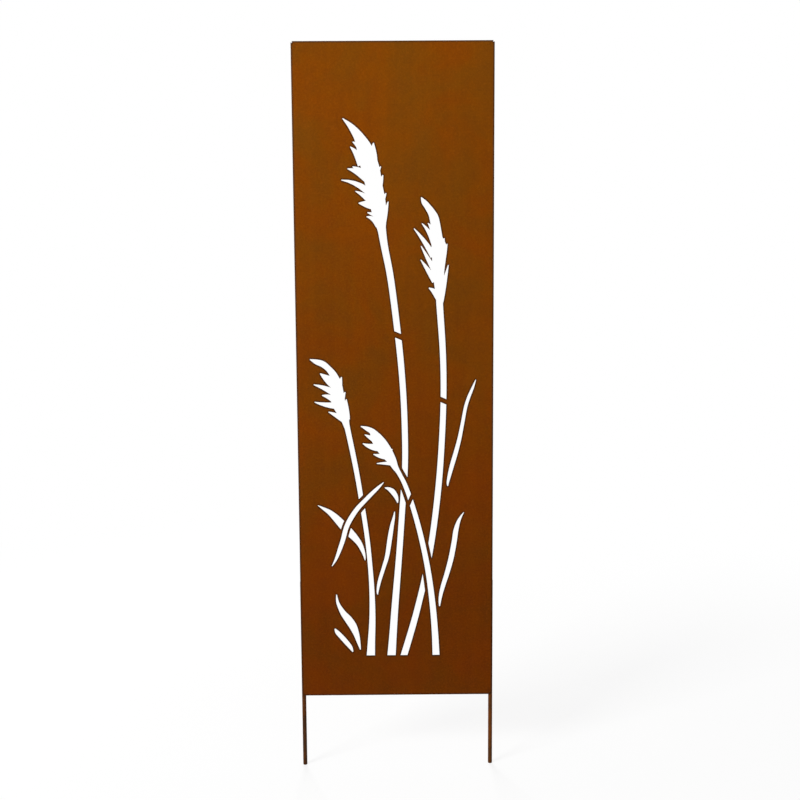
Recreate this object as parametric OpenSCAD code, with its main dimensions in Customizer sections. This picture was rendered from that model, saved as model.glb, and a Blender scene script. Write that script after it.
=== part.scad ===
// Slim garden screen: a laser cut steel sheet with hemmed edges on two ground stakes.
// Millimetres. X runs across the screen, the cut front faces -Y and Z is up.
// The origin is on the ground line, midway between the axes of the two stakes.

/* [Panel] */
// Width over the folded side edges
panel_w = 300; // [260:1:420]
// Height over the folded top and bottom edges
panel_h = 1000; // [800:1:1400]
// Thickness of the steel sheet
sheet_t = 1.2; // [0.8:0.1:2]
// Width of the strip that is folded on to the back along each edge
hem_w = 12; // [9:0.5:18]
// Space between the sheet and the folded strip
hem_gap = 0.4; // [0.2:0.1:1]
// How much of each corner of the blank is cut away, along either edge
corner_cut = 1.5; // [1:0.5:6]
// Opening of the mitre between two hems at its inner end
mitre_gap = 1; // [0.5:0.1:2]

/* [Stakes] */
// Diameter of the round rod
stake_d = 6.5; // [5:0.5:8]
// Length of the rod as it was cut
stake_len = 300; // [220:5:500]
// Length that stands out below the panel
stake_drop = 116; // [80:1:200]
// How far a rod stands out past the panel's side
stake_proud = 0.8; // [0:0.1:1.8]
// Chamfer ground on the cut ends of the rod
stake_chamfer = 0.5; // [0.2:0.1:1]

/* [Welds] */
// Number of stitches along each stake
weld_count = 3; // [2:1:6]
// Length of one stitch
weld_len = 18; // [10:1:30]
// Radius of the bead
weld_r = 1.7; // [1.2:0.1:2.2]
// How near the bead's metal runs to the line where the rod touches the hem
weld_root = 0.4; // [0.2:0.1:1]
// Distance from a stake's upper end, and from the panel's foot, to the nearest stitch
weld_inset = 10; // [10:1:25]

/* [Cut-out] */
// Height of the level line on which all stems are cut off
root_level = 65; // [40:1:120]
// Metal left between a blade in front and the blade that it crosses
bridge_w = 5; // [3:0.5:8]
// The same where two leaves cross
leaf_bridge_w = 3.5; // [3:0.5:8]
// Width of the blunt tip of a strand
strand_tip = 1.2; // [0.6:0.1:2]
// How soon a strand widens behind its tip: 1 is a straight taper, 2 a full leaf
strand_fullness = 1.5; // [1:0.1:2]
// Width of the slot that the laser burns: metal narrower than this doesn't stay
kerf = 0.4; // [0.1:0.1:0.8]

/* [Hidden] */
$fn = 48;

// The hem: two thicknesses of sheet round a narrow gap, joined by a half round bend
hem_depth = 2 * sheet_t + hem_gap;
bend_r = hem_depth / 2;
bend_inner_r = hem_gap / 2;
stake_r = stake_d / 2;
stake_x = panel_w / 2 + stake_proud - stake_r;
back_y = -stake_r;
front_y = back_y - hem_depth;
bend_y = back_y - bend_r;
stake_top = stake_len - stake_drop;

// Where the 45 degree cut across a corner of the blank meets the two bend lines
corner_land = corner_cut + bend_r;

// Centre of a weld bead, as the reach from the rod's axis and the rise above the hem
weld_rise = weld_r / 3;
weld_reach = weld_root + sqrt(weld_r * weld_r - weld_rise * weld_rise);

// The picture is drawn on a field of this size, and keeps its shape on a panel of any size
field_w = 300;
field_h = 1000;
picture_scale = min(panel_w / field_w, panel_h / field_h);
curve_steps = 5;
strand_steps = 5;
lap = 2; // how far one cutting tool runs past what it cuts
bridge_run = 5; // length of a strip left across a stem, in widths of the strip

// Stems, from root to plume. Each station is [across, up, width].
tall_stem = [[-9.6, 50, 13.6], [-5.8, 100, 11.4], [-2, 150, 10.4], [4.4, 225, 9.2], [10, 300, 8.8],
             [14.4, 365, 8.8], [14.4, 425, 9], [11.8, 490, 9], [5.8, 560, 9.4], [-5, 650, 9.8],
             [-14.6, 702, 10.6], [-19, 732, 13]];
right_stem = [[6.6, 50, 10.6], [25, 112, 9.8], [35, 150, 9.2], [45.4, 195, 9], [57, 260, 9],
              [66.5, 340, 9.2], [72, 420, 8.8], [74, 485, 8.8], [72.8, 545, 9.2], [68.4, 612, 10],
              [68.4, 626, 11]];
left_stem = [[-41.8, 50, 14.2], [-40, 85, 11.4], [-38, 125, 9.4], [-38.2, 165, 8], [-40.4, 205, 7],
             [-45, 255, 7], [-53.4, 315, 7.2], [-61.4, 365, 7.6], [-73, 424, 8.2], [-76, 436, 11]];
low_stem = [[62, 50, 11.4], [60, 100, 9.8], [56, 150, 9], [48.8, 205, 8.2], [38, 258, 7.8],
            [26, 303, 7.4], [14, 338, 6.8], [3.6, 358, 6.6], [-3, 370, 10]];

// Solid cores of the plumes, from neck to tip
tall_core = [[-17.8, 719, 9], [-21, 745, 20], [-24.5, 768, 24], [-29.5, 792, 25],
             [-34.5, 816, 27], [-42, 842, 24], [-50, 860, 16], [-62, 876.5, 9], [-75, 889, 1.2]];
right_core = [[68, 610, 8], [68.6, 632, 13.5], [66.5, 662, 17.5], [67.3, 684, 21], [67.5, 699, 23],
              [64.8, 712, 17], [64, 722, 14.5], [60.4, 741.7, 13.8], [56.4, 751, 11.3],
              [49.8, 760.6, 9.2], [45, 766.7, 7.6], [41, 773.5, 1.2]];
left_core = [[-73.5, 424, 6.8], [-76.5, 438, 12], [-79.5, 450, 18], [-86.5, 466, 21],
             [-89, 480, 21], [-90, 494, 17.5], [-94, 508, 11.5], [-101, 517.5, 9], [-109.8, 524.8, 9.4],
             [-119.4, 528.3, 7.6], [-129.2, 532, 1.2]];
low_core = [[8, 352, 5], [0, 364, 9], [-6, 376, 14], [-14, 388, 19], [-22, 400, 20],
            [-30, 412, 16.5], [-35.5, 420.7, 9.4], [-44, 425.5, 6.4], [-53, 429, 1.2]];

// Strands that stand out of a core: [tip across, tip up, root across, root up, root width, bow].
// The bow is how far a strand arches upwards, as a share of its length.
tall_strands = [[-60.5, 855, -49, 846, 9, 0.06], [-64, 848, -46, 822, 15, 0.06],
                [-61, 819, -42, 806, 13, 0.04], [-68.5, 816, -39, 802, 14, 0.06],
                [-78, 799.5, -33.5, 778, 11, 0.09], [-57, 783, -35, 769, 10, 0.05],
                [-52.6, 765.5, -32, 763, 14, 0], [-39.5, 751.5, -28, 748, 6, 0],
                [-41, 745.5, -22, 733, 12, 0.12], [-29.6, 853.5, -31, 828, 14, 0],
                [-19, 819, -28, 805, 9, 0], [-15.8, 806.5, -24, 786, 12, 0],
                [-11.4, 780, -20, 764, 9, 0], [-8.4, 767.5, -16, 738, 9, 0]];
right_strands = [[51, 735.5, 59, 720, 8, 0.06], [42, 735, 61, 704, 10, 0.06],
                 [30, 727.5, 59, 686, 9.5, 0.03], [40.5, 701.5, 61, 664, 8.5, 0],
                 [40, 681, 61.6, 649, 10, 0.01], [52, 639, 68, 625, 13, 0.06],
                 [81.4, 673, 68.6, 618, 10.6, 0], [75.2, 713, 71, 696, 10, 0],
                 [79.6, 704.5, 73, 680, 8, 0]];
left_strands = [[-114, 510.5, -90, 494, 18, -0.02], [-124, 493.5, -90, 479, 11, 0.04],
                [-111.6, 477, -92, 470, 11, 0.06], [-123, 466.7, -84, 461, 11, -0.04],
                [-102, 451.5, -79, 440, 10, 0.02], [-81.4, 505, -87, 484, 11, 0],
                [-76.2, 482, -84, 464, 10, 0], [-74.6, 471, -76.5, 440, 14, 0]];
low_strands = [[-47, 416, -26, 405, 11, 0], [-50.2, 402.3, -26, 396, 12, -0.06],
               [-34, 385.5, -10, 382.5, 11, -0.06], [-29, 371, -3, 370.5, 6.5, 0.02],
               [-5, 393.5, -12, 382, 8, 0]];

// Leaves, from one tip to the other
arching_leaf = [[-18.6, 341.5, 1], [-27.5, 333, 4.6], [-38, 323, 6], [-48, 312.8, 6.4],
                [-59.5, 300.5, 7], [-69.5, 286, 7.4], [-77, 271, 7.2], [-82.3, 252, 6.8],
                [-87.8, 236, 6], [-93.6, 221, 4], [-100, 209.5, 1]];
broad_leaf = [[-120.5, 306, 1], [-112, 301, 4.4], [-102, 294.5, 8], [-92, 285, 11], [-82, 274, 13],
              [-72, 263, 12.5], [-64, 254.5, 10.5], [-57, 245, 8.4], [-52, 234, 6],
              [-49.4, 225, 3.4], [-48.5, 218.5, 1]];
belly_leaf = [[-93.6, 164, 1.2], [-92.6, 154, 4], [-90, 146, 5.6], [-83.5, 134, 9],
              [-75.5, 123.5, 12], [-68.5, 112.5, 12], [-63.5, 100, 9], [-60.3, 88, 6],
              [-57.2, 74.5, 1.4]];
small_leaf = [[-97, 109, 1.6], [-93.5, 103.4, 6.4], [-87, 96, 7.6], [-78.5, 86, 7.6],
              [-72.5, 78, 6], [-69.2, 71, 1.6]];
crescent_leaf = [[-17, 333, 1.2], [-11.5, 331.5, 5], [-5.5, 327.5, 8], [-0.5, 320.5, 7],
                 [2, 313.5, 4], [2.6, 309, 1.2]];
middle_leaf = [[-2, 295.5, 1], [-3.4, 286, 3.6], [-6.3, 273, 5.8], [-9.6, 254, 7], [-14, 226, 6.4],
               [-19.3, 208, 5.8], [-25, 190, 5.4], [-28, 178, 4.6], [-29.6, 167, 2.6],
               [-29.2, 163.4, 1]];
upper_right_leaf = [[123, 499.5, 1], [118.8, 488, 3.6], [112.5, 473, 4.8], [107.5, 457, 5],
                    [102.8, 432, 5.3], [98, 408, 6], [92.8, 388, 6.6], [87.2, 369, 6.6],
                    [82.8, 352, 5.4], [80.4, 341, 3.6], [80.2, 335, 1.6]];
lower_right_leaf = [[105, 293.4, 1], [101, 287.5, 3], [96.4, 278, 5.6], [92.6, 264, 7.6],
                    [90.3, 248, 7.8], [85.5, 222, 8], [79.5, 199, 7.4], [73.6, 180, 6.8],
                    [69.8, 166, 5.8], [67.8, 154, 4.2], [67.2, 144, 1.6]];

// Strips of metal left across a stem: [across, up, slope in degrees, width]
tall_bridge = [5.5, 567, -23, 8.5];
right_bridge = [73.5, 467.8, -24, 7.6];
low_bridge = [22.4, 313.5, 66, 6];

// ---- Curves ----

// A station of the picture, [across, up, width], at its place on a panel of any size
function on_panel(s) = [s.x, s.y, s.z] * picture_scale;

// Point at share f between the second and third of four stations, on a smooth curve
function smooth(a, b, c, d, f) =
    0.5 * (2 * b + (c - a) * f + (2 * a - 5 * b + 4 * c - d) * f * f
           + (3 * b - 3 * c + d - a) * f * f * f);

// All points of the curve through the stations p
function curve(p) = [
    for (i = [0:len(p) - 2])
        for (k = [0:curve_steps - 1])
            smooth(p[max(i - 1, 0)], p[i], p[i + 1], p[min(i + 2, len(p) - 1)], k / curve_steps),
    p[len(p) - 1]
];

// Unit normal of a row of points at its point i, to the left of the way it runs
function normal(c, i) =
    let (a = c[max(i - 1, 0)], b = c[min(i + 1, len(c) - 1)], run = [b.x - a.x, b.y - a.y])
    [-run.y, run.x] / norm(run);

// One edge of a ribbon: half its width to the left (side 1) or the right (side -1)
function edge(c, side) = [for (i = [0:len(c) - 1]) [c[i].x, c[i].y] + side * normal(c, i) * c[i].z / 2];

// Last entry first
function backwards(v) = [for (i = [len(v) - 1:-1:0]) v[i]];

// Outline of a ribbon whose width follows its stations
function outline(c) = concat(edge(c, 1), backwards(edge(c, -1)));

// Stations of one strand, from its root in the core to its blunt tip
function strand(s) =
    let (root = [s[2], s[3]], run = [s[0], s[1]] - root, up = [-run.y, run.x] * (run.x < 0 ? -1 : 1))
    [for (k = [0:strand_steps])
        let (f = k / strand_steps, middle = root + run * f + up * s[5] * 4 * f * (1 - f))
        [middle.x, middle.y, strand_tip + (s[4] - strand_tip) * (1 - pow(f, strand_fullness))]];

// ---- Picture that is cut out, drawn in the panel's plane ----

module ribbon(stations) {
    polygon(outline(curve([for (s = stations) on_panel(s)])));
}

module plume(core, strands) {
    ribbon(core);
    for (s = strands)
        polygon(outline([for (t = strand(s)) on_panel(t)]));
}

// A strip of metal that stays across a stem, drawn as what is taken off the cut-out
module bridge(b) {
    place = on_panel([b[0], b[1], b[3]]);
    translate([place.x, place.y])
        rotate(b[2])
            square([bridge_run * place.z, place.z], center = true);
}

// The metal that stays round a blade where it passes in front of others
module margin(width) {
    offset(delta = width)
        children();
}

// What the laser leaves of a drawing: slivers of metal narrower than its slot burn away
module burnt() {
    offset(delta = -kerf)
        offset(delta = kerf)
            children();
}

module above_roots() {
    intersection() {
        children();
        translate([-panel_w / 2, root_level])
            square([panel_w, panel_h]);
    }
}

module tall_grass() {
    difference() {
        union() {
            ribbon(tall_stem);
            plume(tall_core, tall_strands);
        }
        bridge(tall_bridge);
        margin(bridge_w) ribbon(low_stem);
    }
}

module right_grass() {
    difference() {
        union() {
            ribbon(right_stem);
            plume(right_core, right_strands);
        }
        bridge(right_bridge);
        margin(bridge_w) ribbon(low_stem);
    }
}

module left_grass() {
    difference() {
        union() {
            ribbon(left_stem);
            plume(left_core, left_strands);
        }
        margin(bridge_w) ribbon(arching_leaf);
    }
}

module low_grass() {
    difference() {
        union() {
            ribbon(low_stem);
            plume(low_core, low_strands);
        }
        bridge(low_bridge);
    }
}

module leaves() {
    ribbon(arching_leaf);
    ribbon(belly_leaf);
    ribbon(small_leaf);
    ribbon(crescent_leaf);
    ribbon(middle_leaf);
    ribbon(upper_right_leaf);
    ribbon(lower_right_leaf);
    difference() {
        ribbon(broad_leaf);
        margin(leaf_bridge_w) ribbon(arching_leaf);
    }
}

module picture() {
    burnt()
        above_roots() {
            tall_grass();
            right_grass();
            left_grass();
            low_grass();
            leaves();
        }
}

// ---- Sheet ----

// Stands a drawing of the panel's plane up, its front at y and its back at y + depth
module stand_up(y, depth) {
    translate([0, y + depth, 0])
        rotate([90, 0, 0])
            linear_extrude(depth)
                children();
}

// Section of a hem: its bend, left of the origin, and the strip behind the sheet, to the right
module hem_section() {
    difference() {
        circle(bend_r);
        circle(bend_inner_r);
        translate([0, -bend_r - lap])
            square([bend_r + lap, 2 * (bend_r + lap)]);
    }
    translate([0, bend_inner_r])
        square([hem_w - bend_r, sheet_t]);
}

// One hem seen from the front, along an edge of this length: cut at 45 degrees across its
// bend and mitred over its strip, at both ends
module mitred_strip(length) {
    polygon([[corner_cut, 0], [length - corner_cut, 0], [length - corner_land, bend_r],
             [length - hem_w - mitre_gap, hem_w], [hem_w + mitre_gap, hem_w],
             [corner_land, bend_r]]);
}

// A hem along the bottom of a sheet of this length, which starts at the origin
module hem(length) {
    intersection() {
        translate([length, bend_y, bend_r])
            rotate([0, -90, 0])
                linear_extrude(length)
                    hem_section();
        stand_up(front_y - lap, hem_depth + 2 * lap)
            mitred_strip(length);
    }
}

// Flat of the sheet between the bends, its corners cut at 45 degrees
module flat_outline() {
    far = panel_w / 2 - bend_r;
    near = panel_w / 2 - corner_land;
    polygon([[-near, bend_r], [near, bend_r], [far, corner_land], [far, panel_h - corner_land],
             [near, panel_h - bend_r], [-near, panel_h - bend_r], [-far, panel_h - corner_land],
             [-far, corner_land]]);
}

// ---- Pieces ----

module screen_panel() {
    color([0.45, 0.22, 0.03]) {
        stand_up(front_y, sheet_t)
            difference() {
                flat_outline();
                picture();
            }
        translate([-panel_w / 2, 0, 0])
            hem(panel_w);
        translate([panel_w / 2, 0, 0])
            rotate([0, -90, 0])
                hem(panel_h);
        translate([panel_w / 2, 0, panel_h])
            rotate([0, 180, 0])
                hem(panel_w);
        translate([-panel_w / 2, 0, panel_h])
            rotate([0, 90, 0])
                hem(panel_h);
    }
}

// A straight round rod with a chamfer at both cut ends; side is -1 on the left and 1 on the right
module stake(side) {
    color([0.42, 0.27, 0.13])
        translate([side * stake_x, 0, -stake_drop])
            rotate_extrude()
                polygon([[0, 0], [stake_r - stake_chamfer, 0], [stake_r, stake_chamfer],
                         [stake_r, stake_len - stake_chamfer], [stake_r - stake_chamfer, stake_len],
                         [0, stake_len]]);
}

// One stitch, as a bead with round ends, laid in the corner between a rod and the hem
module bead() {
    straight = weld_len - 2 * weld_r;
    difference() {
        translate([weld_reach, back_y + weld_rise, -straight / 2]) {
            cylinder(h = straight, r = weld_r);
            sphere(weld_r);
            translate([0, 0, straight])
                sphere(weld_r);
        }
        translate([0, 0, -weld_len])
            cylinder(h = 2 * weld_len, r = stake_r);
        translate([-stake_d, back_y - stake_d, -weld_len])
            cube([3 * stake_d, stake_d, 2 * weld_len]);
    }
}

// The stitches of one stake, evenly spaced over its lap on the panel
module welds(side) {
    first = weld_inset + weld_len / 2;
    last = stake_top - weld_inset - weld_len / 2;
    color([0.35, 0.3, 0.27])
        for (i = [0:weld_count - 1])
            translate([side * stake_x, 0, first + (last - first) * i / (weld_count - 1)])
                mirror([side > 0 ? 1 : 0, 0, 0])
                    bead();
}

module left_stake() {
    stake(-1);
}

module right_stake() {
    stake(1);
}

module left_stake_welds() {
    welds(-1);
}

module right_stake_welds() {
    welds(1);
}

screen_panel();
left_stake();
right_stake();
left_stake_welds();
right_stake_welds();
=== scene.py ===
import math
import random

import bpy
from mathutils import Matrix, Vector


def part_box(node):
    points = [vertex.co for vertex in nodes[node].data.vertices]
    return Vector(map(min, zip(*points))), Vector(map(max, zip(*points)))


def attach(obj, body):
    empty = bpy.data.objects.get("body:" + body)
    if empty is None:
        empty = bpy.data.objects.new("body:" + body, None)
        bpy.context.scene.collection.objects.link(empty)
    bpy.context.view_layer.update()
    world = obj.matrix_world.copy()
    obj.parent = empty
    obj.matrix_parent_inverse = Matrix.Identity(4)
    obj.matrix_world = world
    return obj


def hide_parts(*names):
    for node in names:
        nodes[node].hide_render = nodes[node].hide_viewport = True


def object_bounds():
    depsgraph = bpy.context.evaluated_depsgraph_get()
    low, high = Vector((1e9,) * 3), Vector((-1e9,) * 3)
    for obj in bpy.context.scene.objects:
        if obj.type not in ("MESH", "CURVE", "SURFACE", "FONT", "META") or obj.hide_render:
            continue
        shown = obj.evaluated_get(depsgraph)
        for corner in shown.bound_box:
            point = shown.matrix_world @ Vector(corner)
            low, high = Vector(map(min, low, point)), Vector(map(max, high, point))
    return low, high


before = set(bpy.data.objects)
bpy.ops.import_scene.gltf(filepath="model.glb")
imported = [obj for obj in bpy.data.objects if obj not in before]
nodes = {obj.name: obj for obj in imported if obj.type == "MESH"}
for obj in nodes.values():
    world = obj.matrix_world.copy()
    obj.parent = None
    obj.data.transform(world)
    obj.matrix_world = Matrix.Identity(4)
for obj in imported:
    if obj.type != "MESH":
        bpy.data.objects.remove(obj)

cadLow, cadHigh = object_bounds()
print("frame loaded:", ", ".join(sorted(nodes)))


def only(obj):  # selects this object alone
    bpy.ops.object.select_all(action="DESELECT")
    obj.select_set(True)
    bpy.context.view_layer.objects.active = obj


def settle(obj):  # its place goes into the mesh
    only(obj)
    bpy.ops.object.transform_apply(location=True, rotation=True, scale=True)


def applyModifier(obj, kind, **settings):
    only(obj)
    modifier = obj.modifiers.new("step", kind)
    for name, value in settings.items():
        setattr(modifier, name, value)
    bpy.ops.object.modifier_apply(modifier="step")


def joined(parts):
    bpy.ops.object.select_all(action="DESELECT")
    for part in parts:
        part.select_set(True)
    bpy.context.view_layer.objects.active = parts[0]
    bpy.ops.object.join()
    return bpy.context.object


# the welds that hold each rod to the hem, in metres and degrees
stitch = {
    "perRod": 3,
    "length": 0.018,
    "radius": 0.0017,
    "reach": 0.0020,         # sideways, from a rod's axis to the middle of a bead
    "rise": 0.00057,         # middle of a bead above the hem
    "ripples": 11,
    "ripplePitch": 0.0015,
    "rippleDepth": 0.0013,
    "endSize": 0.88,         # first and last ripple, as a share of the radius
    "sizes": (0.95, 1.02),   # smallest and largest of the others
    "stray": 0.0001,         # how far a ripple may lie from its place
    "tilt": 24,
    "voxel": 0.00014,
    "sink": 0.00004,         # how deep a bead runs into the rod and the hem
    "cutterSize": 0.04,      # of the rod and the block that cut a bead to its corner
    "merge": 0.00001,        # points closer than this become one after the cuts
    "smoothAngle": 50,
}


def stitchHeights(node):  # the middles of a rod's stitches
    low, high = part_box(node)
    first, last = low.z + stitch["length"] / 2, high.z - stitch["length"] / 2
    count = stitch["perRod"]
    return [first + (last - first) * i / (count - 1) for i in range(count)]


def rippleBead(x, y, middle, dice):
    # overlapping tilted drops along the joint, fused into one skin
    drops = []
    span = stitch["ripplePitch"] * (stitch["ripples"] - 1)
    for i in range(stitch["ripples"]):
        bpy.ops.object.select_all(action="DESELECT")
        atEnd = i in (0, stitch["ripples"] - 1)
        size = stitch["radius"] * (stitch["endSize"] if atEnd else dice.uniform(*stitch["sizes"]))
        stray = dice.uniform(-stitch["stray"], stitch["stray"])
        spot = (x, y, middle - span / 2 + i * stitch["ripplePitch"] + stray)
        bpy.ops.mesh.primitive_uv_sphere_add(segments=24, ring_count=16, radius=size, location=spot)
        drop = bpy.context.object
        bpy.ops.object.mode_set(mode="EDIT")
        bpy.ops.mesh.select_all(action="SELECT")
        bpy.ops.transform.resize(value=(1, 1, stitch["rippleDepth"] / size), center_override=spot)
        bpy.ops.transform.rotate(value=math.radians(stitch["tilt"]), orient_axis="X",
                                 center_override=spot)
        bpy.ops.object.mode_set(mode="OBJECT")
        drops.append(drop)
    bead = joined(drops)
    settle(bead)
    applyModifier(bead, "REMESH", mode="VOXEL", voxel_size=stitch["voxel"])
    applyModifier(bead, "SMOOTH", factor=0.5, iterations=1)
    return bead


def cutAway(obj, cutter):
    settle(cutter)
    applyModifier(obj, "BOOLEAN", operation="DIFFERENCE", solver="EXACT", object=cutter)
    bpy.data.objects.remove(cutter)


def mergeSlivers(obj):  # the cuts leave points and edges almost on top of each other
    only(obj)
    bpy.ops.object.mode_set(mode="EDIT")
    bpy.ops.mesh.select_all(action="SELECT")
    bpy.ops.mesh.remove_doubles(threshold=stitch["merge"])
    bpy.ops.mesh.dissolve_degenerate(threshold=stitch["merge"])
    bpy.ops.object.mode_set(mode="OBJECT")


def cutToCorner(bead, axisX, rodRadius, hemY, middle):  # takes off what lies in the rod and the hem
    size = stitch["cutterSize"]
    bpy.ops.object.select_all(action="DESELECT")
    bpy.ops.mesh.primitive_cylinder_add(vertices=128, radius=rodRadius - stitch["sink"],
                                        depth=size, location=(axisX, 0, middle))
    cutAway(bead, bpy.context.object)
    bpy.ops.object.select_all(action="DESELECT")
    blockY = hemY - stitch["sink"] - size / 2
    bpy.ops.mesh.primitive_cube_add(size=size, location=(axisX, blockY, middle))
    cutAway(bead, bpy.context.object)
    mergeSlivers(bead)


def weldRow(side, inward, dice):
    rodLow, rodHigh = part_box(side + "_stake")
    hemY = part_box("screen_panel")[1].y
    axisX, rodRadius = (rodLow.x + rodHigh.x) / 2, (rodHigh.x - rodLow.x) / 2
    beads = []
    for middle in stitchHeights(side + "_stake_welds"):
        bead = rippleBead(axisX + inward * stitch["reach"], hemY + stitch["rise"], middle, dice)
        cutToCorner(bead, axisX, rodRadius, hemY, middle)
        beads.append(bead)
    row = joined(beads)
    row.name = side + "StitchBeads"
    row.data.name = row.name
    only(row)
    bpy.ops.object.shade_smooth_by_angle(angle=math.radians(stitch["smoothAngle"]))
    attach(row, "root")
    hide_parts(side + "_stake_welds")
    return row


dice = random.Random(7)
weldRows = []
for side, inward in (("left", 1), ("right", -1)):
    row = weldRow(side, inward, dice)
    weldRows.append(row)
    print(row.name, len(row.data.polygons), "faces")


wholeSpan = (0.3, 0.7)   # most values of a clouds pattern lie in it


def screenTone(colour):  # 0-255 as seen on screen, to the linear colour a socket takes
    linear = []
    for value in colour:
        share = value / 255
        linear.append(share / 12.92 if share <= 0.04045 else ((share + 0.055) / 1.055) ** 2.4)
    return (*linear, 1.0)


def emptyTree(block):  # of a material or a world
    block.use_nodes = True
    block.node_tree.nodes.clear()
    return block.node_tree


def put(tree, kind, options=None, inputs=None):  # a node, with numbers set and sockets linked
    node = tree.nodes.new("ShaderNode" + kind)
    for name, value in (options or {}).items():
        setattr(node, name, value)
    for name, value in (inputs or {}).items():
        if isinstance(value, bpy.types.NodeSocket):
            tree.links.new(value, node.inputs[name])
        else:
            node.inputs[name].default_value = value
    return node


def calc(tree, operation, first, second=0.0, third=0.0):
    options = {"operation": operation}
    return put(tree, "Math", options, {0: first, 1: second, 2: third}).outputs[0]


def vectorCalc(tree, operation, first, second=(0, 0, 0)):  # gives a vector, or one number
    node = put(tree, "VectorMath", {"operation": operation}, {0: first, 1: second})
    return node.outputs["Value" if operation in ("LENGTH", "DOT_PRODUCT") else "Vector"]


def clouds(tree, place, scale, detail, roughness=0.55, distortion=0.0):
    inputs = {"Vector": place, "Scale": scale, "Detail": detail, "Roughness": roughness,
              "Distortion": distortion}
    return put(tree, "TexNoise", None, inputs).outputs[0]


def stretched(tree, place, scale):  # bigger numbers make a pattern finer that way
    return put(tree, "Mapping", None, {"Vector": place, "Scale": scale}).outputs[0]


def remap(tree, value, span, target, soft=True):
    options = {"interpolation_type": "SMOOTHSTEP" if soft else "LINEAR"}
    inputs = {0: value, 1: span[0], 2: span[1], 3: target[0], 4: target[1]}
    return put(tree, "MapRange", options, inputs).outputs[0]


def mixTones(tree, share, first, second, mode="MIX"):  # sockets 6 and 7 are the node's colours
    options = {"data_type": "RGBA", "blend_type": mode}
    return put(tree, "Mix", options, {0: share, 6: first, 7: second}).outputs[2]


def tinted(tree, colour, tone, cover, strength):  # a tone laid over, as far as its cover reaches
    return mixTones(tree, calc(tree, "MULTIPLY", cover, strength), colour, tone)


def shade(tree, colour, value, shares, span=wholeSpan):  # lighter and darker by a pattern
    amount = remap(tree, value, span, shares)
    grey = put(tree, "CombineColor", None, {0: amount, 1: amount, 2: amount}).outputs[0]
    return mixTones(tree, 1.0, colour, grey, "MULTIPLY")


def toneRamp(tree, value, stops):
    node = put(tree, "ValToRGB", None, {0: value})
    ends = node.color_ramp.elements
    ends[0].position, ends[1].position = stops[0][0], stops[-1][0]
    ends[0].color, ends[1].color = screenTone(stops[0][1]), screenTone(stops[-1][1])
    for place, colour in stops[1:-1]:
        ends.new(place).color = screenTone(colour)
    return node.outputs[0]


def spots(tree, place, scale, radius, share):  # ragged round spots, in this share of the cells
    raggedness, finer = 0.7, 3       # how far an outline wanders, and how much finer than a cell
    smallest, softFrom = 0.2, 0.4    # as shares of the full radius
    wander = put(tree, "TexNoise", None, {"Vector": place, "Scale": scale * finer, "Detail": 3.0})
    off = vectorCalc(tree, "SUBTRACT", wander.outputs["Color"], (0.5, 0.5, 0.5))
    off = vectorCalc(tree, "MULTIPLY", off, (raggedness / scale,) * 3)
    moved = vectorCalc(tree, "ADD", place, off)
    cells = put(tree, "TexVoronoi", None, {"Vector": moved, "Scale": scale})
    pick = put(tree, "SeparateColor", None, {0: cells.outputs["Color"]}).outputs
    size = calc(tree, "MULTIPLY_ADD", pick[1], 1 - smallest, smallest)
    fromMiddle = calc(tree, "DIVIDE", cells.outputs["Distance"], size)
    inside = remap(tree, fromMiddle, (radius * softFrom, radius), (1, 0))
    return calc(tree, "MULTIPLY", inside, calc(tree, "LESS_THAN", pick[0], share))


# what the finishes share; a span says where in a pattern an effect sets in and where it is full
rust = {
    "driftScale": 5, "driftReach": 0.3,   # the fade's line wavers, by up to this many metres
    "bloomSpan": (0.54, 0.72),
    "pitSize": 0.34, "pitCells": 0.3,     # size within a cell, and the share of cells with one
    "dotSize": 0.3, "dotCells": 0.35,
    "lightSpan": (0.52, 0.64),
    "speckleSpan": (0.36, 0.52),
    "grainSpan": (0.36, 0.64),
    "blotchHeight": 1.4, "speckleHeight": 1.6,   # beside the grain's height of 1
    "rimPatches": ((0.35, 0.55), 0.7),    # a span, and how much is left where it is thinnest
    "foldPatches": ((0.35, 0.6), 0.5),
    "heatPatches": ((0.3, 0.6), 0.6),
    "ridgeSpan": (0.44, 0.54),
}


def patchy(tree, cover, pattern, patches):  # a cover that is thinner in places
    span, least = patches
    return calc(tree, "MULTIPLY", cover, remap(tree, pattern, span, (least, 1)))


def objectNormal(tree):
    normal = put(tree, "TexCoord").outputs["Normal"]
    return put(tree, "SeparateXYZ", None, {0: normal}).outputs


def foldDistance(tree, place, low, high):  # from the nearest folded edge of the sheet
    across, _, height = put(tree, "SeparateXYZ", None, {0: place}).outputs
    fromSide = calc(tree, "SUBTRACT", high.x, calc(tree, "ABSOLUTE", across))
    fromEnd = calc(tree, "MINIMUM", calc(tree, "SUBTRACT", height, low.z),
                   calc(tree, "SUBTRACT", high.z, height))
    return calc(tree, "MINIMUM", fromSide, fromEnd)


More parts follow.
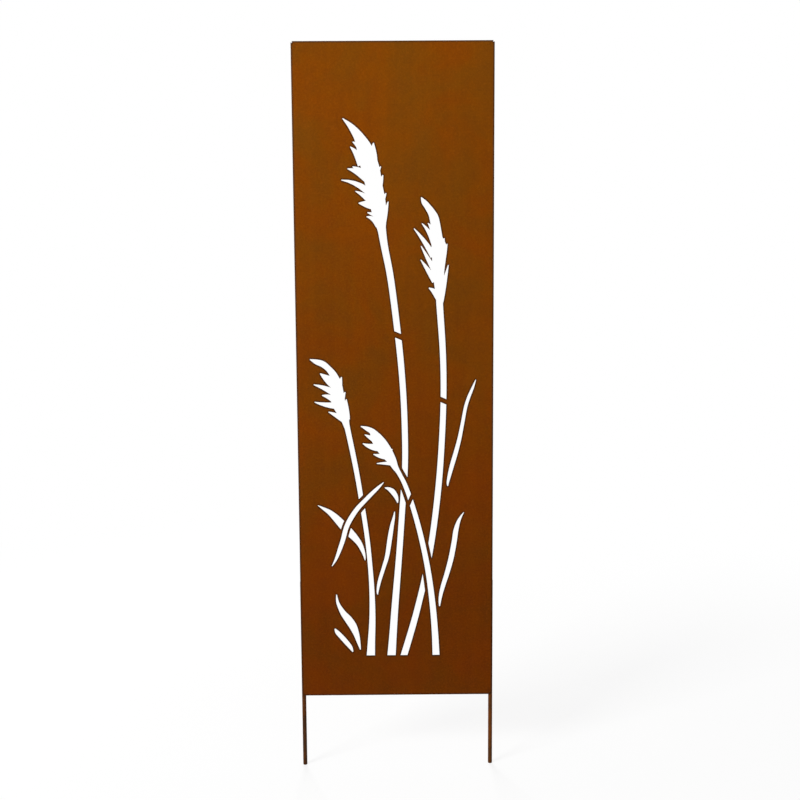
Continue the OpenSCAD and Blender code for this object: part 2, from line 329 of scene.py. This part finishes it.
def darkRimShade(tree, look, fromFold, normal, speckle, colour):
    # painted shade: a dark outline along sharp edges, broken up by the speckle; the hem's own edge
    # has none in front
    leastTurn, fullTurn = 0.999, 0.965   # cosines of how far a rounded edge would turn the surface
    straight = put(tree, "NewGeometry").outputs["Normal"]
    reach = look["rimReach"]
    rounded = put(tree, "Bevel", {"samples": 8}, {"Radius": reach}).outputs[0]
    turn = vectorCalc(tree, "DOT_PRODUCT", straight, rounded)
    offHem = calc(tree, "ABSOLUTE", calc(tree, "SUBTRACT", fromFold, look["hemWidth"]))
    clear = remap(tree, offHem, (reach, reach * 1.3), (0, 1))
    behind = calc(tree, "GREATER_THAN", normal[1], 0.5)
    rim = calc(tree, "MULTIPLY", remap(tree, turn, (leastTurn, fullTurn), (0, 1)),
               calc(tree, "MAXIMUM", clear, behind))
    rim = patchy(tree, rim, speckle, rust["rimPatches"])
    return tinted(tree, colour, screenTone(look["rimShadeTone"]), rim, look["rimShare"])


def foldsWornAndLit(tree, look, fromFold, bend, speckle, blotch, foldWornAndLitTone, colour):
    # the patina is thinner and greyer on the outside of the folds, partly wear and partly a painted
    # sheen; the fold tone is darker near the ground as painted shade
    fold = calc(tree, "MULTIPLY_ADD", speckle, look["foldFray"], fromFold)
    fold = remap(tree, fold, (bend, look["foldWidth"]), (1, 0))
    fold = patchy(tree, fold, blotch, rust["foldPatches"])
    return tinted(tree, colour, foldWornAndLitTone, fold, look["foldShare"])


def burntAndShadedWalls(tree, place, look, fromFold, bend, normal, colour, relief):
    # walls that the laser left: dark, partly burnt steel and partly painted shade, with fine lines
    # through the thickness
    wall = remap(tree, calc(tree, "ABSOLUTE", normal[1]), look["wallTurn"], (1, 0))
    wall = calc(tree, "MULTIPLY", wall, calc(tree, "GREATER_THAN", fromFold, bend))
    lines = clouds(tree, stretched(tree, place, look["cutStretch"]), 1, detail=2, roughness=0.5)
    burntAndShaded = shade(tree, screenTone(look["cutBurnAndShadeTone"]), lines, look["cutLines"])
    colour = tinted(tree, colour, burntAndShaded, wall, look["cutShare"])
    grooves = calc(tree, "MULTIPLY", wall, lines)
    return colour, calc(tree, "MULTIPLY_ADD", grooves, look["cutHeight"], relief)


def sheetEdges(tree, place, look, speckle, blotch, foldWornAndLitTone, colour, relief):
    low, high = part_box("screen_panel")
    bend = (high.y - low.y) / 2
    fromFold = foldDistance(tree, place, low, high)
    normal = objectNormal(tree)
    colour = darkRimShade(tree, look, fromFold, normal, speckle, colour)
    colour = foldsWornAndLit(tree, look, fromFold, bend, speckle, blotch, foldWornAndLitTone, colour)
    return burntAndShadedWalls(tree, place, look, fromFold, bend, normal, colour, relief)


def sawnEnds(tree, place, look, colour, relief):  # cut ends of a rod, with the saw's marks
    sawn = remap(tree, calc(tree, "ABSOLUTE", objectNormal(tree)[2]), look["endTurn"], (0, 1))
    marks = clouds(tree, stretched(tree, place, look["sawStretch"]), 1, detail=2, roughness=0.5)
    bare = shade(tree, screenTone(look["endTone"]), marks, look["sawMarks"])
    colour = tinted(tree, colour, bare, sawn, look["endShare"])
    grooves = calc(tree, "MULTIPLY", sawn, marks)
    return colour, calc(tree, "MULTIPLY_ADD", grooves, look["sawHeight"], relief)


def heatedScale(tree, place, look, bloom, colour):
    # dark scale beside each weld stitch, which fades with distance and before the front
    underRod = 0.001      # it is strongest this far in from the rod's inner side
    fullReach = 0.0015    # and full up to this distance from there
    depthScale, depthShift = 2.5, 0.006   # depth counts for more, so that none is left in front
    across, through, height = put(tree, "SeparateXYZ", None, {0: place}).outputs
    side = calc(tree, "SUBTRACT", calc(tree, "ABSOLUTE", across),
                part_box("right_stake")[0].x + underRod)
    nearest = None
    for middle in stitchHeights("left_stake_welds"):
        along = calc(tree, "ABSOLUTE", calc(tree, "SUBTRACT", height, middle))
        past = calc(tree, "MAXIMUM", calc(tree, "SUBTRACT", along, stitch["length"] / 2), 0.0)
        nearest = past if nearest is None else calc(tree, "MINIMUM", nearest, past)
    deep = calc(tree, "MULTIPLY_ADD", through, depthScale, depthShift)
    gap = put(tree, "CombineXYZ", None, {0: side, 1: nearest, 2: deep}).outputs[0]
    distance = vectorCalc(tree, "LENGTH", gap)
    heat = remap(tree, distance, (fullReach, look["heatReach"]), (1, 0))
    heat = patchy(tree, heat, bloom, rust["heatPatches"])
    return tinted(tree, colour, screenTone(look["heatTone"]), heat, look["heatShare"])


def fadeUpwards(tree, place, look):  # from 0 near the ground to 1 further up
    across, _, height = put(tree, "SeparateXYZ", None, {0: place}).outputs
    level = calc(tree, "MULTIPLY_ADD", across, -look["fadeLean"], height)
    drift = clouds(tree, place, rust["driftScale"], detail=2)
    uneven = calc(tree, "MULTIPLY_ADD", drift, rust["driftReach"], level)
    return remap(tree, uneven, look["fade"], (0, 1), soft=False)


def rustFinish(name, look):
    material = bpy.data.materials.new(name)
    tree = emptyTree(material)
    place = put(tree, "TexCoord").outputs["Object"]

    # broad clouds of browner and more orange rust, darker towards the ground
    risen = fadeUpwards(tree, place, look)
    cloud = clouds(tree, place, look["cloudScale"], detail=4, roughness=0.6, distortion=0.6)
    colour = mixTones(tree, risen, toneRamp(tree, cloud, look["lowerTones"]),
                      toneRamp(tree, cloud, look["upperTones"]))

    def toneAtHeight(name):  # a pair of tones, near the ground and further up
        return mixTones(tree, risen, screenTone(look[name][0]), screenTone(look[name][1]))

    # blotches, then blooms of fresher rust, dark pits and raised lighter dots
    blotch = clouds(tree, place, look["blotchScale"], detail=6, roughness=0.68, distortion=0.3)
    colour = shade(tree, colour, blotch, look["blotch"])
    bloom = clouds(tree, place, look["bloomScale"], detail=5, roughness=0.7, distortion=0.5)
    fresh = remap(tree, bloom, rust["bloomSpan"], (0, 1))
    colour = tinted(tree, colour, toneAtHeight("bloomTones"), fresh, look["bloomShare"])
    pits = spots(tree, place, look["pitScale"], rust["pitSize"], rust["pitCells"])
    colour = tinted(tree, colour, screenTone(look["pitTone"]), pits, look["pitShare"])
    dots = spots(tree, place, look["dotScale"], rust["dotSize"], rust["dotCells"])
    colour = tinted(tree, colour, toneAtHeight("dotTones"), dots, look["dotShare"])

    # fine runs that water leaves down the face, or the marks drawn along a rod
    runs = clouds(tree, stretched(tree, place, look["runStretch"]), 1, detail=4, roughness=0.6)
    colour = shade(tree, colour, runs, look["runs"])

    # speckle of two rust tones, and powdery grain
    speckle = clouds(tree, place, look["speckleScale"], detail=5, roughness=0.75)
    light = remap(tree, speckle, rust["lightSpan"], (0, look["speckleShare"]))
    colour = mixTones(tree, light, colour, toneAtHeight("dotTones"))
    colour = shade(tree, colour, speckle, look["speckle"], rust["speckleSpan"])
    grain = clouds(tree, place, look["grainScale"], detail=3, roughness=0.7)
    colour = shade(tree, colour, grain, look["grain"], rust["grainSpan"])

    # what stands up or is sunk
    relief = calc(tree, "MULTIPLY_ADD", dots, look["dotHeight"], grain)
    relief = calc(tree, "MULTIPLY_ADD", pits, -look["pitDepth"], relief)
    relief = calc(tree, "MULTIPLY_ADD", blotch, rust["blotchHeight"], relief)
    relief = calc(tree, "MULTIPLY_ADD", speckle, rust["speckleHeight"], relief)

    # what only some of the pieces have
    if "rimShadeTone" in look:
        foldWornAndLitTone = toneAtHeight("foldWornAndLitTones")
        colour, relief = sheetEdges(tree, place, look, speckle, blotch, foldWornAndLitTone, colour, relief)
    # painted shade in the weld's valleys and painted highlight on its ripple tops
    if "ridgeShadeAndHighlight" in look:
        ridge = put(tree, "NewGeometry").outputs["Pointiness"]
        colour = shade(tree, colour, ridge, look["ridgeShadeAndHighlight"], rust["ridgeSpan"])
    if "endTone" in look:
        colour, relief = sawnEnds(tree, place, look, colour, relief)
    if "heatTone" in look:
        colour = heatedScale(tree, place, look, bloom, colour)

    bump = put(tree, "Bump", None, {"Strength": look["bump"], "Distance": look["bumpDepth"],
                                    "Height": relief})
    shader = put(tree, "BsdfPrincipled", None, {
        "Base Color": colour, "Roughness": remap(tree, blotch, wholeSpan, look["dullness"]),
        "Specular IOR Level": look["gloss"], "Normal": bump.outputs[0]})
    put(tree, "OutputMaterial", None, {"Surface": shader.outputs[0]})
    return material


def dress(obj, material):
    obj.data.materials.clear()
    obj.data.materials.append(material)


# the cut sheet
sheetLook = {
    "cloudScale": 8,
    "upperTones": [(0.34, (116, 65, 5)), (0.46, (121, 65, 3)),
                   (0.56, (125, 63, 1)), (0.68, (128, 62, 0))],
    "lowerTones": [(0.34, (93, 45, 1)), (0.46, (97, 44, 0)),
                   (0.56, (100, 43, 0)), (0.68, (104, 43, 0))],
    "fade": (0.28, 1.1),   # heights between which the lower tones give way to the upper
    "fadeLean": 0.3,       # how much higher that is towards the right
    "blotchScale": 46, "blotch": (0.94, 1.05),
    "bloomScale": 70, "bloomShare": 0.3, "bloomTones": ((110, 50, 3), (136, 69, 6)),
    "pitScale": 420, "pitShare": 0.4, "pitTone": (66, 34, 8), "pitDepth": 0.8,
    "dotScale": 300, "dotShare": 0.35, "dotTones": ((124, 60, 8), (150, 80, 10)),
    "dotHeight": 1.0,
    "runStretch": (70, 70, 3.2), "runs": (0.965, 1.03),
    "speckleScale": 330, "speckle": (0.88, 1.0), "speckleShare": 0.3,
    "grainScale": 1800, "grain": (0.86, 1.12),
    "bump": 0.7, "bumpDepth": 0.0002,
    "dullness": (0.76, 0.94), "gloss": 0.04,
    # the rim tone is painted shade, a dark outline along the sharp edges
    "rimShadeTone": (42, 23, 8), "rimReach": 0.0042, "rimShare": 1.0, "hemWidth": 0.012,
    # fold tones: greyer partly from wear and partly as painted sheen; the lower one darker as
    # painted shade
    "foldWornAndLitTones": ((66, 36, 14), (88, 60, 36)), "foldWidth": 0.0042, "foldShare": 0.6,
    "foldFray": 0.001,
    "wallTurn": (0.3, 0.6),   # how far a surface may face forwards and still be a cut wall
    # the cut tone is partly burnt steel and partly painted shade on the walls
    "cutBurnAndShadeTone": (50, 26, 9), "cutShare": 0.9,
    "cutStretch": (2600, 180, 2600), "cutLines": (0.6, 1.5), "cutHeight": 1.5,
    "heatTone": (52, 38, 30), "heatReach": 0.009, "heatShare": 0.7,
}
dress(nodes["screen_panel"], rustFinish("rustedSheet", sheetLook))
print("panel dressed")


# the two rods
rodLook = {
    "cloudScale": 30,
    "upperTones": [(0.34, (76, 44, 17)), (0.46, (86, 48, 14)),
                   (0.56, (97, 50, 10)), (0.68, (106, 50, 5))],
    "lowerTones": [(0.34, (55, 33, 17)), (0.46, (64, 37, 16)),
                   (0.56, (74, 40, 13)), (0.68, (83, 41, 8))],
    "fade": (-0.3, 0.2), "fadeLean": -2,   # so the left rod is the darker one
    "blotchScale": 160, "blotch": (0.86, 1.12),
    "bloomScale": 120, "bloomShare": 0.5, "bloomTones": ((96, 48, 10), (118, 60, 12)),
    "pitScale": 800, "pitShare": 0.6, "pitTone": (48, 27, 13), "pitDepth": 1.2,
    "dotScale": 520, "dotShare": 0.4, "dotTones": ((106, 64, 30), (126, 74, 32)),
    "dotHeight": 0.8,
    "runStretch": (650, 650, 18), "runs": (0.84, 1.12),
    "speckleScale": 700, "speckle": (0.84, 1.0), "speckleShare": 0.35,
    "grainScale": 2400, "grain": (0.86, 1.12),
    "bump": 0.6, "bumpDepth": 0.00015,
    "dullness": (0.74, 0.92), "gloss": 0.08,
    "endTurn": (0.5, 0.8),   # how far a surface faces up or down from where it counts as an end
    "endTone": (104, 70, 44), "endShare": 0.7,
    "sawStretch": (2600, 260, 1), "sawMarks": (0.7, 1.3), "sawHeight": 1.2,
    "heatTone": (50, 38, 34), "heatReach": 0.010, "heatShare": 0.75,
}
rodFinish = rustFinish("rustedRod", rodLook)
for name in ("left_stake", "right_stake"):
    dress(nodes[name], rodFinish)
print("stakes dressed")


# the rippled beads of weld metal
weldTones = [(0.30, (66, 45, 33)), (0.46, (78, 50, 30)),
             (0.58, (90, 53, 24)), (0.72, (102, 55, 16))]
weldLook = {
    "cloudScale": 60,
    "upperTones": weldTones, "lowerTones": weldTones,
    "fade": (0.0, 0.3), "fadeLean": 0,
    "blotchScale": 300, "blotch": (0.8, 1.15),
    "bloomScale": 420, "bloomShare": 0.5, "bloomTones": ((118, 62, 20), (118, 62, 20)),
    "pitScale": 1400, "pitShare": 0.5, "pitTone": (38, 28, 25), "pitDepth": 0.8,
    "dotScale": 1200, "dotShare": 0.3, "dotTones": ((116, 78, 52), (116, 78, 52)),
    "dotHeight": 0.6,
    "runStretch": (400, 400, 900), "runs": (0.9, 1.08),
    "speckleScale": 1100, "speckle": (0.84, 1.0), "speckleShare": 0.35,
    "grainScale": 3400, "grain": (0.88, 1.1),
    "ridgeShadeAndHighlight": (0.55, 1.15),   # painted shade in the valleys between the ripples, to painted highlight on their tops
    "bump": 0.4, "bumpDepth": 0.00008,
    "dullness": (0.66, 0.86), "gloss": 0.1,
}
weldFinish = rustFinish("weldMetal", weldLook)
for row in weldRows:
    dress(row, weldFinish)
print("welds dressed")


# floor, world and lamps
studio = {
    "floorSize": 9.0,
    "floorTone": (238, 238, 238),
    "shadowKept": 0.2,         # share of the floor's own light that is seen close to the object
    "shadowFade": (0.5, 1.8),  # distances over which that share falls to none
    "ambient": 0.25,
    "lamps": {
        "keyLamp": {"place": (-3.4, -3.0, 2.8), "aim": (0, 0, 0.55), "size": 1.6, "watts": 226},
        "fillLamp": {"place": (2.2, -2.0, 1.2), "aim": (0, 0, 0.5), "size": 1.6, "watts": 5},
        "backLamp": {"place": (-0.8, 4.2, 2.6), "aim": (0, 0, 0.5), "size": 1.8, "watts": 210},
    },
}


def seenRays(tree):  # 1 for what the camera sees, directly, in a reflection or through glass
    rays = put(tree, "LightPath").outputs
    return calc(tree, "MAXIMUM", rays["Is Camera Ray"],
                calc(tree, "MAXIMUM", rays["Is Glossy Ray"], rays["Is Transmission Ray"]))


def paleFloor():  # white to the camera, but for a faint shadow near the object
    material = bpy.data.materials.new("paleFloor")
    tree = emptyTree(material)
    flat = vectorCalc(tree, "MULTIPLY", put(tree, "TexCoord").outputs["Object"], (1, 1, 0))
    away = vectorCalc(tree, "LENGTH", flat)
    white = remap(tree, away, studio["shadowFade"], (1 - studio["shadowKept"], 1))
    glow = calc(tree, "MULTIPLY", seenRays(tree), white)
    paint = put(tree, "BsdfDiffuse", None, {"Color": screenTone(studio["floorTone"])})
    light = put(tree, "Emission", None, {"Color": (1, 1, 1, 1), "Strength": 1.0})
    mixed = put(tree, "MixShader", None, {0: glow, 1: paint.outputs[0], 2: light.outputs[0]})
    put(tree, "OutputMaterial", None, {"Surface": mixed.outputs[0]})
    return material


bpy.ops.object.select_all(action="DESELECT")
bpy.ops.mesh.primitive_circle_add(vertices=128, radius=studio["floorSize"], fill_type="NGON",
                                  location=(0, 0, cadLow.z))
floor = bpy.context.object
floor.name = "floor"
settle(floor)
dress(floor, paleFloor())

world = bpy.data.worlds.new("paleRoom")
tree = emptyTree(world)
strength = remap(tree, seenRays(tree), (0, 1), (studio["ambient"], 1), soft=False)
sky = put(tree, "Background", None, {"Color": (1, 1, 1, 1), "Strength": strength})
put(tree, "OutputWorld", None, {"Surface": sky.outputs[0]})
bpy.context.scene.world = world

for name, lamp in studio["lamps"].items():
    light = bpy.data.lights.new(name, "AREA")
    light.size = lamp["size"]
    light.energy = lamp["watts"]
    stand = bpy.data.objects.new(name, light)
    bpy.context.scene.collection.objects.link(stand)
    stand.location = lamp["place"]
    reach = Vector(lamp["aim"]) - stand.location
    stand.rotation_euler = reach.to_track_quat("-Z", "Y").to_euler()
print("studio lit")


# camera, at the photograph's angle, in metres, degrees and millimetres
view = {
    "place": (-0.0004, -1.5228, 0.6429),
    "turn": (83.466, 0.365, -0.336),
    "lens": 45,
    "sensor": 36,
}
cameraData = bpy.data.cameras.new("camera")
cameraData.lens = view["lens"]
cameraData.sensor_width = view["sensor"]
camera = bpy.data.objects.new("camera", cameraData)
camera.location = view["place"]
camera.rotation_euler = [math.radians(angle) for angle in view["turn"]]
bpy.context.scene.collection.objects.link(camera)
bpy.context.scene.camera = camera
bpy.context.scene.view_settings.view_transform = "Standard"
print("camera set")
